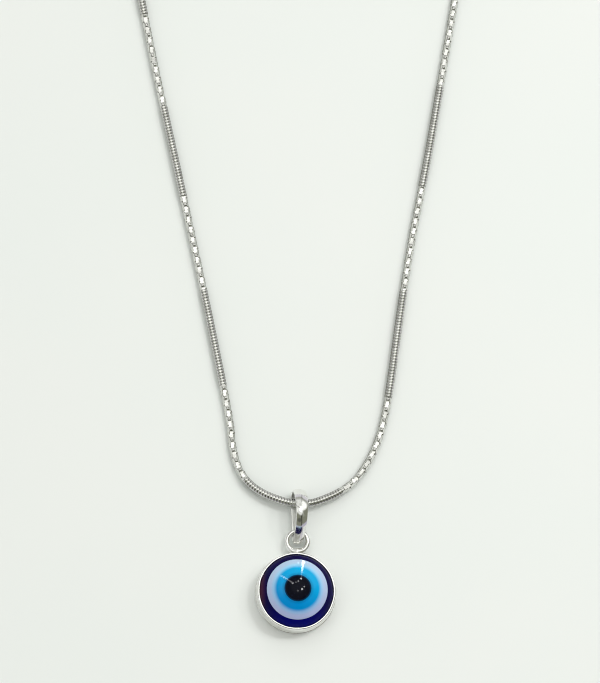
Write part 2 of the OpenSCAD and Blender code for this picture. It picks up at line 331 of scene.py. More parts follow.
# Patches of the surroundings, each over those before it: azimuth, elevation, radius where it starts to
# fade, radius where it ends, all in degrees, and colour
ROOM_PATCHES = [
    (205, 40, 15, 40, ROOM_GREY),
    (3, 34, 14, 34, ROOM_OLIVE),
    (165, 28, 8, 22, ROOM_OLIVE),
    (160, 62, 6, 14, ROOM_WINDOW),
    (268, 52, 32, 42, ROOM_OLIVE),
    (322, 30, 14, 24, ROOM_OLIVE),
    (90, 90, 13, 19, ROOM_BRIGHT),
    (48, 48, 15, 25, ROOM_WINDOW),
    (74, 76, 9, 17, ROOM_LAMP),
    (258, 48, 6, 15, ROOM_SHADE),
]
STRIP_SIDE = 288  # azimuth of an upright dark strip
STRIP_HALF = (0.07, 0.18)  # its half width, where it starts to fade and where it ends, as sines
STRIP_TOP = (0.2, 0.35)  # where it ends towards the zenith
WALL_TOP = (0.35, 0.6)  # sines of the elevations between which the walls fade into the ceiling
FOOT_TOP = (0.2, 0.33)  # and the lowest part into the walls
FOOT_SIDES = (-0.3, 0.3)  # from the near to the far side of that lowest part
ROOM_MOTTLE = (0.38, 0.62)  # noise values between which dim turns to bright


def dark_strip_factor(tree, way):
    """1 along the upright dark strip, which ends below the camera."""
    aside = add_node(tree, "ShaderNodeVectorMath", links={0: way}, operation="DOT_PRODUCT")
    aside.inputs[1].default_value = direction(STRIP_SIDE + 90, 0)
    near = add_node(tree, "ShaderNodeMath", links={0: aside.outputs["Value"]}, operation="ABSOLUTE")
    before = add_node(tree, "ShaderNodeVectorMath", links={0: way}, operation="DOT_PRODUCT")
    before.inputs[1].default_value = direction(STRIP_SIDE, 0)
    strip = add_node(tree, "ShaderNodeMath", operation="MULTIPLY")
    tree.links.new(smooth_step(tree, near.outputs[0], *STRIP_HALF, 1, 0), strip.inputs[0])
    tree.links.new(smooth_step(tree, before.outputs["Value"], *STRIP_TOP), strip.inputs[1])
    return strip.outputs[0]


def make_world():
    """The surroundings that the silver mirrors: patches of light and shade, and one dark strip."""
    world = bpy.data.worlds.new("room")
    world.use_nodes = True
    scene.world = world
    tree = world.node_tree
    way = add_node(tree, "ShaderNodeTexCoord").outputs["Generated"]
    patches = add_node(tree, "ShaderNodeTexNoise", {"Scale": 2.3, "Detail": 2.0}, {"Vector": way})
    colour = mix_colours(tree, smooth_step(tree, patches.outputs[0], *ROOM_MOTTLE), ROOM_DIM, ROOM_BRIGHT)
    split = add_node(tree, "ShaderNodeSeparateXYZ", links={0: way})
    height = split.outputs["Z"]
    colour = mix_colours(tree, smooth_step(tree, height, *WALL_TOP, 1, 0), colour, ROOM_WALL)
    for azimuth, elevation, inner, outer, patch in ROOM_PATCHES:
        factor = cap_factor(tree, way, direction(azimuth, elevation), inner, outer)
        colour = mix_colours(tree, factor, colour, patch)
    colour = mix_colours(tree, dark_strip_factor(tree, way), colour, ROOM_DARK)
    far_side = smooth_step(tree, split.outputs["Y"], *FOOT_SIDES)
    foot = mix_colours(tree, far_side, ROOM_FOOT_NEAR, ROOM_FOOT_FAR)
    colour = mix_colours(tree, smooth_step(tree, height, *FOOT_TOP, 1, 0), colour, foot)
    tree.links.new(colour, tree.nodes["Background"].inputs["Color"])
    tree.nodes["Background"].inputs["Strength"].default_value = 1.0


def show_to(thing, diffuse, glossy):
    """A light that the camera doesn't see, for rough surfaces, for mirrors or for both."""
    thing.visible_camera = False
    thing.visible_diffuse = diffuse
    thing.visible_glossy = glossy
    thing.visible_transmission = False


def make_area_light(name, way, distance, size, power):
    """A square light that faces the object and lights rough surfaces only."""
    data = bpy.data.lights.new(name, "AREA")
    data.size = size
    data.energy = power
    light = bpy.data.objects.new(name, data)
    scene.collection.objects.link(light)
    light.location = CAMERA_TARGET + way * distance
    light.rotation_euler = way.to_track_quat("Z", "Y").to_euler()
    show_to(light, diffuse=True, glossy=False)


def make_glow(name, pixels, faces, strength, seen_in):
    """A lamp seen in the eye alone. Its mirror image has its corners at pixels of the photograph."""
    centre = Vector((0, 0, GIRDLE_H + DOME_H))
    corners = [centre + glint_way(pixel) * GLOW_DISTANCE for pixel in pixels]
    mesh = bpy.data.meshes.new(name)
    mesh.from_pydata(corners, [], faces)
    material = bpy.data.materials.new(name)
    material.use_nodes = True
    tree = material.node_tree
    tree.nodes.clear()
    glow = add_node(tree, "ShaderNodeEmission", {"Strength": strength})
    add_node(tree, "ShaderNodeOutputMaterial", links={"Surface": glow.outputs[0]})
    mesh.materials.append(material)
    lamp = bpy.data.objects.new(name, mesh)
    scene.collection.objects.link(lamp)
    lamp.visible_shadow = False
    show_to(lamp, diffuse=False, glossy=True)
    lamp.light_linking.receiver_collection = seen_in


# Soft lamps: name, azimuth, elevation, distance, size and power
SOFT_LAMPS = [
    ("ceiling", 90, 90, 1.2, 4.0, 15),
    ("window", 30, 60, 0.45, 0.073, 0.37),
    ("lamp_side", 15, 45, 0.45, 0.034, 0.15),
    ("lamp_far", 90, 35, 0.8, 0.08, 0.25),
]
GLOW_DISTANCE = 0.9  # of the lamps that the dome mirrors, from its top
# Small lamps by their mirror images: name, middle and half size in pixels, and strength
SPOTS = [
    ("lamp_top", (301.1, 578.5), 0.9, 120),
    ("lamp_pink", (298.3, 581.1), 0.75, 60),
    ("lamp_faint", (296.0, 582.2), 0.6, 30),
    ("lamp_left", (292.6, 583.0), 0.9, 90),
    ("lamp_right", (302.1, 589.0), 1.0, 105),
    ("lamp_right_small", (304.3, 586.6), 0.75, 60),
    ("lamp_low", (297.9, 590.7), 0.8, 22),
]
SPOT_SIDES = 12
# The tall lamp's image in pixels: row, left and right
STREAK = [
    (557.4, 303.6, 304.4),
    (559.0, 302.9, 304.8),
    (561.0, 302.1, 305.0),
    (565.4, 301.5, 304.2),
    (568.0, 301.3, 303.2),
    (571.5, 301.3, 302.5),
    (577.0, 301.3, 301.8),
]
# Its parts: first row, last row and strength. The glasses under them aren't equally glossy.
STREAK_PARTS = [
    (557.4, 559.0, 120),
    (559.0, 566.3, 16),
    (566.3, 572.5, 32),
    (572.5, 577.0, 14),
]
STREAK_STEP = 0.5
# The thin line of light at the upper left, by its corners in pixels
THIN_LINE = [(292.9, 582.4), (292.3, 583.5), (278.3, 575.0), (278.7, 574.3)]
THIN_STRENGTH = 26


def make_lights(eye_collection):
    """Soft lamps for all rough surfaces, and small ones whose mirror images show in the eye."""
    for name, azimuth, elevation, distance, size, power in SOFT_LAMPS:
        make_area_light(name, direction(azimuth, elevation), distance, size, power)
    for name, middle, half, strength in SPOTS:
        turns = [math.tau * k / SPOT_SIDES for k in range(SPOT_SIDES)]
        outline = [(middle[0] + half * math.cos(a), middle[1] + half * math.sin(a)) for a in turns]
        make_glow(name, outline, [range(SPOT_SIDES)], strength, eye_collection)
    make_glow("lamp_thin", THIN_LINE, [range(len(THIN_LINE))], THIN_STRENGTH, eye_collection)
    rows, lefts, rights = np.array(STREAK).T
    for number, (first, last, strength) in enumerate(STREAK_PARTS):
        levels = np.arange(first, last, STREAK_STEP).tolist() + [last]
        pixels = []
        for level in levels:
            pixels.append((np.interp(level, rows, lefts), level))
            pixels.append((np.interp(level, rows, rights), level))
        faces = [(k, k + 1, k + 3, k + 2) for k in range(0, len(pixels) - 2, 2)]
        make_glow(f"lamp_tall_{number}", pixels, faces, strength, eye_collection)


FLOOR_HALF = 3.0
FLOOR_DROP = 0.00002  # how far it lies below the object
FLOOR_DIM = (0.835, 0.865, 0.84)
FLOOR_PALE = (0.85, 0.87, 0.845)
FLOOR_ROUGH = 0.55
FLOOR_MOTTLE = (0.3, 0.7)


def make_floor():
    """Pale, faintly mottled table top."""
    mesh = bpy.data.meshes.new("floor")
    sides = ((-1, -1), (1, -1), (1, 1), (-1, 1))
    corners = [(x * FLOOR_HALF, y * FLOOR_HALF, -FLOOR_DROP) for x, y in sides]
    mesh.from_pydata(corners, [], [(0, 1, 2, 3)])
    material, tree, shader = new_material("table_top", FLOOR_DIM, FLOOR_ROUGH)
    place = add_node(tree, "ShaderNodeTexCoord").outputs["Object"]
    mottle = add_node(tree, "ShaderNodeTexNoise", {"Scale": 25.0, "Detail": 3.0}, {"Vector": place})
    factor = smooth_step(tree, mottle.outputs[0], *FLOOR_MOTTLE)
    colour = mix_colours(tree, factor, FLOOR_DIM, FLOOR_PALE)
    tree.links.new(colour, shader.inputs["Base Color"])
    shader.inputs["Specular IOR Level"].default_value = 0.1
    mesh.materials.append(material)
    floor = bpy.data.objects.new("floor", mesh)
    scene.collection.objects.link(floor)


# Materials. Silver: colour, colour of its duller patches, and roughness of both
CHAIN_SILVER = ((0.8, 0.8, 0.77), (0.62, 0.62, 0.59), 0.12, 0.24)
POLISHED_SILVER = ((0.93, 0.93, 0.91), (0.86, 0.86, 0.83), 0.08, 0.16)
SATIN_SILVER = ((0.95, 0.95, 0.93), (0.9, 0.9, 0.88), 0.42, 0.52)
DULLED = (0.35, 0.7)  # noise values between which the silver turns duller
ROUGHENED = (0.3, 0.7)  # and rougher
SCRATCH_STRENGTH = 0.05
SCRATCH_DEPTH = 0.00001
SCRATCH_TURN = (0.4, 0.3, 0.9)
SCRATCH_SCALE = (9000, 900, 9000)
# Dark colour for the chain's seams, and for the painted shade on its sides
SEAM_AND_SHADE_COLOUR = (0.13, 0.13, 0.105)
SEAM_AND_SHADE_DARK = (0.15, 0.85)  # values of seams and painted shade between which the silver darkens
SEAM_AND_SHADE_DARKEST = 0.95


def new_material(name, colour, roughness, metallic=0.0):
    """A plain material, returned with its tree and its shader."""
    material = bpy.data.materials.new(name)
    material.use_nodes = True
    shader = material.node_tree.nodes["Principled BSDF"]
    shader.inputs["Base Color"].default_value = (*colour, 1)
    shader.inputs["Roughness"].default_value = roughness
    shader.inputs["Metallic"].default_value = metallic
    return material, material.node_tree, shader


def make_silver(name, colour, dull, smooth, rough):
    """Silver with soft patches of duller metal and fine scratches."""
    material, tree, shader = new_material(name, colour, smooth, 1.0)
    place = add_node(tree, "ShaderNodeTexCoord").outputs["Object"]
    patches = add_node(tree, "ShaderNodeTexNoise", {"Scale": 900.0, "Detail": 4.0}, {"Vector": place})
    wear = smooth_step(tree, patches.outputs[0], *DULLED)
    tree.links.new(mix_colours(tree, wear, colour, dull), shader.inputs["Base Color"])
    roughness = smooth_step(tree, patches.outputs[0], *ROUGHENED, smooth, rough)
    tree.links.new(roughness, shader.inputs["Roughness"])
    turned = add_node(tree, "ShaderNodeMapping", links={"Vector": place})
    turned.inputs["Rotation"].default_value = SCRATCH_TURN
    turned.inputs["Scale"].default_value = SCRATCH_SCALE
    lines = add_node(tree, "ShaderNodeTexNoise", {"Scale": 1.0, "Detail": 2.0},
                     {"Vector": turned.outputs["Vector"]})
    bump = add_node(tree, "ShaderNodeBump", {"Strength": SCRATCH_STRENGTH, "Distance": SCRATCH_DEPTH},
                    {"Height": lines.outputs[0]})
    tree.links.new(bump.outputs["Normal"], shader.inputs["Normal"])
    return material, tree, shader


def make_chain_silver():
    """Silver whose seams between the ribs are darkened, and whose sides carry painted shade."""
    material, tree, shader = make_silver("chain_silver_look", *CHAIN_SILVER)
    seam_and_painted_shade = add_node(tree, "ShaderNodeAttribute", attribute_name="seam_and_painted_shade").outputs["Fac"]
    bright = shader.inputs["Base Color"].links[0].from_socket
    darkness = smooth_step(tree, seam_and_painted_shade, *SEAM_AND_SHADE_DARK, 0, SEAM_AND_SHADE_DARKEST)
    colour = mix_colours(tree, darkness, bright, SEAM_AND_SHADE_COLOUR)
    tree.links.new(colour, shader.inputs["Base Color"])
    return material


GLASS_ROUGH = 0.04
GLASS_IOR = 1.5


def make_glass(name, colour, gloss):
    """Glossy opaque glass, returned with its tree so that its colours can be shaded."""
    material, tree, shader = new_material(name, colour, GLASS_ROUGH)
    shader.inputs["IOR"].default_value = GLASS_IOR
    shader.inputs["Specular IOR Level"].default_value = gloss
    return material, tree, shader


def eye_point(tree):
    """The shaded point, in coordinates whose origin is the eye's middle as seen from above."""
    return add_node(tree, "ShaderNodeTexCoord").outputs["Object"]


def distance_from_middle(tree, point):
    """Distance of a point from the eye's middle, as seen from above."""
    flat = add_node(tree, "ShaderNodeVectorMath", links={0: point}, operation="MULTIPLY")
    flat.inputs[1].default_value = (1, 1, 0)
    length = add_node(tree, "ShaderNodeVectorMath", links={0: flat.outputs[0]}, operation="LENGTH")
    return length.outputs["Value"]


def right_and_up(tree, point):
    """How far a point lies to the right of the eye's middle, and how far above it in the photograph."""
    parts = add_node(tree, "ShaderNodeSeparateXYZ", links={0: point})
    return parts.outputs["X"], parts.outputs["Y"]


NAVY = (0.005, 0.003, 0.05)
# Painted light: the navy ring's lower part is brighter blue, as where light shines through the glass
NAVY_PAINTED_LIGHT = (0.0005, 0.0015, 0.15)
NAVY_BROWN = (0.06, 0.012, 0.035)
WHITE_TOP = (0.43, 0.57, 0.75)
WHITE_LOW = (0.40, 0.46, 0.70)
IRIS_TOP = (0.001, 0.375, 0.71)
IRIS_LOW = (0.0005, 0.235, 0.59)
HALO_TOP = (0.31, 0.61, 0.84)
HALO_LOW = (0.28, 0.47, 0.73)
IRIS_EDGE = (0.001, 0.14, 0.36)
PUPIL = (0.0025, 0.003, 0.008)
PUPIL_EDGE = (0.001, 0.035, 0.09)
IRIS_BLUR = 0.0004  # width over which the blue runs into its pale halo
HALO_REACH = 1.6  # how far the halo runs into the white, in such widths
IRIS_SLANT = 0.4  # the iris turns paler upwards, and by this much of it to the right
EDGE_REACH = 1.25  # how far the iris's dark edge reaches, in radii of the pupil
EDGE_DARKEST = 0.6
NAVY_PAINTED_LIGHT_END = 1 / 3  # where the painted light in the navy ring's lower part ends, in radii of the glass
NAVY_BROWN_END = 0.8  # and the brown tint at its left
PUPIL_EDGE_START = 0.85  # where the pupil's edge starts to turn blue, in radii of the pupil
GLOSS_NAVY = 0.03  # the darker glasses mirror less, so that their colours stay deep
GLOSS_PUPIL = 0.06
GLOSS_IRIS = 0.2
GLOSS_PALE = 0.45


def make_navy_glass():
    """Dark blue glass, with painted light in its lower part and brown at its left edge."""
    material, tree, shader = make_glass("navy_glass_look", NAVY, GLOSS_NAVY)
    x, y = right_and_up(tree, eye_point(tree))
    painted_light = smooth_step(tree, y, -GLASS_R, -GLASS_R * NAVY_PAINTED_LIGHT_END, 1, 0)
    colour = mix_colours(tree, painted_light, NAVY, NAVY_PAINTED_LIGHT)
    brown = smooth_step(tree, x, -GLASS_R, -GLASS_R * NAVY_BROWN_END, 1, 0)
    colour = mix_colours(tree, brown, colour, NAVY_BROWN)
    tree.links.new(colour, shader.inputs["Base Color"])
    return material


def iris_colour(tree, x, y, distance):
    """Blue that is paler at the upper right and darker round the pupil."""
    slant = add_node(tree, "ShaderNodeMath", {1: IRIS_SLANT}, {0: x, 2: y}, operation="MULTIPLY_ADD")
    paler = smooth_step(tree, slant.outputs[0], -IRIS_R, IRIS_R)
    colour = mix_colours(tree, paler, IRIS_LOW, IRIS_TOP)
    edge = smooth_step(tree, distance, PUPIL_R, PUPIL_R * EDGE_REACH, EDGE_DARKEST, 0)
    return mix_colours(tree, edge, colour, IRIS_EDGE)


def make_run_glass(name, gloss):
    """Blue and white glass, whose colours run into each other from one layer to the next."""
    material, tree, shader = make_glass(name, WHITE_LOW, gloss)
    point = eye_point(tree)
    distance = distance_from_middle(tree, point)
    x, y = right_and_up(tree, point)
    blue = iris_colour(tree, x, y, distance)
    halo = mix_colours(tree, smooth_step(tree, y, -IRIS_R, IRIS_R), HALO_LOW, HALO_TOP)
    white = mix_colours(tree, smooth_step(tree, y, -WHITE_R, WHITE_R), WHITE_LOW, WHITE_TOP)
    inner_blur = smooth_step(tree, distance, IRIS_R - IRIS_BLUR, IRIS_R + IRIS_BLUR / 2)
    outer_blur = smooth_step(tree, distance, IRIS_R, IRIS_R + IRIS_BLUR * HALO_REACH)
    colour = mix_colours(tree, inner_blur, blue, halo)
    colour = mix_colours(tree, outer_blur, colour, white)
    tree.links.new(colour, shader.inputs["Base Color"])
    return material


def make_pupil_glass():
    """Near-black glass that turns a little blue at its edge."""
    material, tree, shader = make_glass("black_glass_look", PUPIL, GLOSS_PUPIL)
    distance = distance_from_middle(tree, eye_point(tree))
    bluer = smooth_step(tree, distance, PUPIL_R * PUPIL_EDGE_START, PUPIL_R)
    tree.links.new(mix_colours(tree, bluer, PUPIL, PUPIL_EDGE), shader.inputs["Base Color"])
    return material


def make_eye_materials():
    """The glass of each of the eye's nodes."""
    return {
        "eye_glass": make_navy_glass(),
        "eye_white": make_run_glass("white_glass_look", GLOSS_PALE),
        "eye_iris": make_run_glass("blue_glass_look", GLOSS_IRIS),
        "eye_pupil": make_pupil_glass(),
    }


# Mesh helpers

def grid_quads(rows, columns, wrap_rows=False):
    """Quads between the neighbours of a grid whose rows are closed rings."""
    row = np.arange(rows if wrap_rows else rows - 1)[:, None]
    column = np.arange(columns)[None, :]
    next_row = (row + 1) % rows
    next_column = (column + 1) % columns
    corners = (row * columns + column, row * columns + next_column,
               next_row * columns + next_column, next_row * columns + column)
    return np.stack(np.broadcast_arrays(*corners), axis=-1).reshape(-1, 4)


def new_piece(name, points, faces, material, replaced):
    """A mesh that rides on the one body, takes the given material and stands for some nodes."""
    mesh = bpy.data.meshes.new(name)
    mesh.from_pydata(np.asarray(points).tolist(), [], faces)
    mesh.materials.append(material)
    mesh.shade_smooth()
    piece = bpy.data.objects.new(name, mesh)
    scene.collection.objects.link(piece)
    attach(piece, "root")
    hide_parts(*replaced)
    return piece


# Chain

def chain_curve():
    """Closely spaced points along the chain's middle, from the left cap to the right one."""
    left_low, left_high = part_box("end_cap_left")
    right_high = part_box("end_cap_right")[1]
    y = (left_low.y + left_high.y) / 2
    z = (left_low.z + left_high.z) / 2
    left_end = left_low.x + CAP_REACH
    right_end = right_high.x - CAP_REACH
    path = [[left_end, y, z], [left_end - CAP_STRAIGHT, y, z]]
    path += [[x, BAIL_EYE_Y + up, CHAIN_R + lift * (SEAT_Z - CHAIN_R)] for x, up, lift in ROUTE]
    path += [[right_end + CAP_STRAIGHT, y, z], [right_end, y, z]]
    path = np.array(path)
    path = np.vstack([2 * path[0] - path[1], path, 2 * path[-1] - path[-2]])
    pieces = []
    for a, b, c, d in zip(path, path[1:], path[2:], path[3:]):
        count = int(np.linalg.norm(c - b) / CURVE_STEP)
        t = np.linspace(0, 1, count, endpoint=False)[:, None]
        pieces.append(0.5 * (2 * b + (c - a) * t + (2 * a - 5 * b + 4 * c - d) * t ** 2
                             + (3 * b - a - 3 * c + d) * t ** 3))
    points = np.vstack(pieces + [path[-2:-1]])
    points[:, 2] = np.maximum(points[:, 2], CHAIN_R)
    return points


class ChainLine:
    """The chain's middle line, with places and directions found by the length along it."""

    def __init__(self, points):
        self.points = points
        steps = np.linalg.norm(np.diff(points, axis=0), axis=1)
        self.lengths = np.concatenate([[0], np.cumsum(steps)])
        self.total = self.lengths[-1]
        way = np.gradient(points, self.lengths, axis=0)
        way /= np.linalg.norm(way, axis=1)[:, None]
        side = np.cross([0, 0, 1], way)
        self.side = side / np.linalg.norm(side, axis=1)[:, None]
        self.up = np.cross(way, self.side)

    def at(self, lengths, values):
        """Values known at the line's points, at other lengths along it."""
        return np.stack([np.interp(lengths, self.lengths, values[:, k]) for k in range(3)], axis=-1)

    def place(self, lengths, turn, radius):
        """Points at a distance from the line, turned from its upper side."""
        away = np.cos(turn)[..., None] * self.at(lengths, self.up)
        away = away + np.sin(turn)[..., None] * self.at(lengths, self.side)
        return self.at(lengths, self.points) + radius[..., None] * away

    def length_at_bail(self):
        """Length along the line at which it passes through the bail."""
        middle = np.array([BAIL_EYE_X, BAIL_EYE_Y])
        return self.lengths[np.argmin(np.linalg.norm(self.points[:, :2] - middle, axis=1))]


def facet_depth(lengths, turn):
    """Distance of the nearest diamond-cut facet from the chain's middle, along each point's own radius."""
    nearest = np.full(lengths.shape, np.inf)
    floor_r = CHAIN_R - FACET_DEPTH
    cut_r = (FACET_LENGTH / 2 - FACET_FLAT) ** 2 / (2 * FACET_DEPTH)
    least_aside = 0.1  # keeps a facet's distance finite on the chain's other side
    for row in range(FACET_ROWS):
        along = lengths - FACET_PITCH / FACET_STARTS * (row % FACET_STARTS)
        number = np.round(along / FACET_PITCH)
        along = along - number * FACET_PITCH
        lean = FACET_LEAN * np.sin(FACET_UNEVEN * number + FACET_ROW_UNEVEN * row)
        aside = np.cos(turn - math.tau * row / FACET_ROWS - lean)
        beyond = np.maximum(np.abs(along) - FACET_FLAT, 0)
        level = (floor_r + beyond ** 2 / (2 * cut_r)) / np.maximum(aside, least_aside)
        nearest = np.minimum(nearest, level)
    return nearest


def chain_stretch(line, first, last, cut):
    """Points, quads, values of the seams' darkening with the sides' painted shade, and flat faces of one
    stretch of ribs.
    """
    rib = np.arange(first, last)[:, None] + RIB_SHARES[None, :]
    rib = np.append(rib.reshape(-1), last)
    share = rib - np.floor(rib)
    turn = np.arange(CHAIN_COLUMNS) * math.tau / CHAIN_COLUMNS
    wave = np.arcsin(SEAM_POINTED * np.sin(SEAM_WAVES * turn)) / math.asin(SEAM_POINTED)
    lengths = (rib[:, None] + SEAM_SWING * wave[None, :]) * RIB_PITCH
    lengths = np.clip(lengths, 0, line.total)
    notch = 0.5 + 0.5 * np.cos(SEAM_WAVES * (turn - TOOTH_TURN))
    tooth = SEAM_LEAST + (1 - SEAM_LEAST) * notch
    seams = np.abs(2 * share - 1)[:, None] ** SEAM_POWER * tooth[None, :]
    radius = CHAIN_R - RIB_DEPTH * seams
    turns = np.repeat(turn[None, :], len(rib), axis=0)
    # Painted shade on the chain's sides, stronger on the loop's inner side, joins the values that darken the
    # seams
    painted_flank_shade = np.clip((PAINTED_FLANK_FROM - np.cos(turn)) / (PAINTED_FLANK_FROM - PAINTED_FLANK_FULL), 0, 1)
    painted_flank_shade = painted_flank_shade * np.where(np.sin(turn) > 0, PAINTED_FLANK_INNER, PAINTED_FLANK_OUTER)
    seams = np.maximum(seams, np.repeat(painted_flank_shade[None, :], len(rib), axis=0))
    on_facet = np.zeros(radius.shape, bool)
    if cut:
        level = facet_depth(lengths, turns)
        on_facet = level < radius
        radius = np.minimum(radius, level)
        # a facet keeps part of the painted shade on the sides
        seams = np.where(on_facet, painted_flank_shade[None, :] * FACET_PAINTED_SHADE, seams)
    points = line.place(lengths, turns, radius).reshape(-1, 3)
    quads = grid_quads(len(rib), CHAIN_COLUMNS)
    flat = on_facet.reshape(-1)[quads].all(axis=1)
    return points, quads, seams.reshape(-1), flat


def make_chain(material):
    """Snake chain in two pieces: the plain stretches, and the diamond-cut ones between them."""
    line = ChainLine(chain_curve())
    bail = line.length_at_bail()
    edges = [bail + LEFT_PLAIN_END, bail + RIGHT_PLAIN_END]
    while edges[0] > 0:
        edges.insert(0, edges[0] - LEFT_SECTION)
    while edges[-1] < line.total:
        edges.append(edges[-1] + RIGHT_SECTION)
    ribs = [round(min(max(edge, 0), line.total) / RIB_PITCH) for edge in edges]
    plain_at = edges.index(bail + LEFT_PLAIN_END) % 2
    first_end = list(range(CHAIN_COLUMNS))[::-1]
    for name, parity in (("chain_plain", plain_at), ("chain_cut", 1 - plain_at)):
        points, faces, seams, flats = [], [], [], []
        count = 0
        for index in range(parity, len(ribs) - 1, 2):
            if ribs[index + 1] <= ribs[index]:
                continue
            cut = name == "chain_cut"
            stretch, quads, seam_and_painted_shade, flat = chain_stretch(line, ribs[index], ribs[index + 1], cut)
            ends = [first_end, list(range(len(stretch) - CHAIN_COLUMNS, len(stretch)))]
            faces += (quads + count).tolist() + [[corner + count for corner in end] for end in ends]
            flats += flat.tolist() + [True, True]
            points.append(stretch)
            seams.append(seam_and_painted_shade)
            count += len(stretch)
        piece = new_piece(name, np.vstack(points), faces, material, ["chain"])
        # The attribute holds the seams' darkening and the painted shade on the chain's sides
        seam_values = piece.data.attributes.new("seam_and_painted_shade", "FLOAT", "POINT")
        seam_values.data.foreach_set("value", np.concatenate(seams))
        piece.data.polygons.foreach_set("use_smooth", np.logical_not(flats))


# Bail

def circle_points(centre, radius, start, end, count):
    """Places and outward normals along part of a circle, in the (y, z) plane."""
    turn = np.radians(np.linspace(start, end, count, endpoint=False))
    normal = np.stack([np.cos(turn), np.sin(turn)], axis=-1)
    return np.hstack([centre + radius * normal, normal])


def straight_points(start, end, normal, count):
    """Places along a straight line in the same plane, all with one outward normal."""
    share = np.linspace(0, 1, count, endpoint=False)[:, None]
    places = np.array(start) + (np.array(end) - np.array(start)) * share
    return np.hstack([places, np.repeat([normal], count, axis=0)])


def bail_outline():
    """The bail's side outline: [y, z, normal y, normal z] round the outside."""
    tip_r = BAIL_TIP_D / 2
    small_r = BAIL_END_D / 2
    tip = np.array([BAIL_HIGH.y - tip_r, tip_r])
    small = np.array([BAIL_END_Y + small_r, small_r])
    slope = math.radians(FRONT_SLOPE)
    slope_end = small + small_r * np.array([-math.sin(slope), math.cos(slope)])
    level_y = slope_end[0] + (BAIL_TOP_D - slope_end[1]) / math.tan(slope)
    level_y += FRONT_BOW_R * math.tan(slope / 2)
    bow = np.array([level_y, BAIL_TOP_D - FRONT_BOW_R])
    top_r = (BAIL_TOP_D + (tip[0] - level_y) ** 2 / (BAIL_TOP_D - BAIL_TIP_D)) / 2
    top = np.array([level_y, BAIL_TOP_D - top_r])
    tip_turn = math.degrees(math.atan2(tip[1] - top[1], tip[0] - top[0]))
    slope_way = np.array([-math.sin(slope), math.cos(slope)])
    return np.vstack([
        circle_points(tip, tip_r, -90, tip_turn, BEND_STEPS),
        circle_points(top, top_r, tip_turn, 90, LEG_STEPS),
        circle_points(bow, FRONT_BOW_R, 90, 90 + FRONT_SLOPE, LEG_STEPS),
        straight_points(bow + FRONT_BOW_R * slope_way, slope_end, slope_way, LEG_STEPS),
        circle_points(small, small_r, 90 + FRONT_SLOPE, 270, BEND_STEPS),
        straight_points([small[0], 0], [tip[0], 0], [0, -1], LEG_STEPS)])


def band_section():
    """The band's rounded D section: [share of half the width, depth below the crown], all round it."""
    face = 0.93  # where the two faces end and the rounded edges begin
    corner = 0.985
    outer = [(x, abs(x) ** CROWN_POWER * BAND_CROWN) for x in np.linspace(-face, face, 15)]
    edge_top = BAND_CROWN + BAND_EDGE_R * 0.6
    edge_low = BAND_T - BAND_EDGE_R
    right = [(corner, BAND_CROWN), (1, edge_top), (1, edge_low), (corner, BAND_T - BAND_EDGE_R * 0.3)]
    inner = [(x, BAND_T) for x in np.linspace(face, -face, 9)]
    left = [(-x, depth) for x, depth in reversed(right)]
    return np.array(outer + right + inner + left)


def make_bail(material, inner_material):
    """Tapered band bent into a teardrop loop, leaning as it lies."""
    outline = bail_outline()
    section = band_section()
    share = np.clip((outline[:, 0] - BAIL_END_Y) / (BAIL_EYE_Y - BAIL_END_Y), 0, 1)
    half = (BAND_END_W + (BAND_W - BAND_END_W) * share ** BAND_POWER) / 2
    x = half[:, None] * section[None, :, 0]
    depth = np.repeat(section[None, :, 1], len(outline), axis=0)
    y = outline[:, 0:1] - depth * outline[:, 2:3]
    z = outline[:, 1:2] - depth * outline[:, 3:4]
    leaned_x = x * math.cos(BAIL_LEAN) + z * math.sin(BAIL_LEAN)
    leaned_z = z * math.cos(BAIL_LEAN) - x * math.sin(BAIL_LEAN)
    low = leaned_z.min()
    aside = (RING_Z + low) * math.tan(BAIL_LEAN) - BAIL_RIGHT
    points = np.stack([leaned_x - aside, y, leaned_z - low], axis=-1).reshape(-1, 3)
    faces = grid_quads(len(outline), len(section), wrap_rows=True).tolist()
    piece = new_piece("bail_band", points, faces, material, ["bail"])
    piece.data.materials.append(inner_material)
    deep = (section[:, 1] == BAND_T) & (np.roll(section[:, 1], -1) == BAND_T)
    piece.data.polygons.foreach_set("material_index", np.tile(deep, len(outline)).astype(np.int32))
    piece.data.set_sharp_from_angle(angle=BAND_SHARP)


# Setting

def round_corner(r, z, radius, start, end, count=6):
    """Points of a rounded corner of a lathed outline, about a centre."""
    turns = np.radians(np.linspace(start, end, count))
    return [(r + radius * math.cos(a), z + radius * math.sin(a)) for a in turns]


def dome_radius(z):
    """Radius of the dome at a height."""
    return GLASS_R * math.sqrt(1 - ((z - GIRDLE_H) / DOME_H) ** 2)


def dome_height(r):
    """Height of the dome at a distance from its middle."""
    return GIRDLE_H + DOME_H * math.sqrt(max(0, 1 - (r / GLASS_R) ** 2))


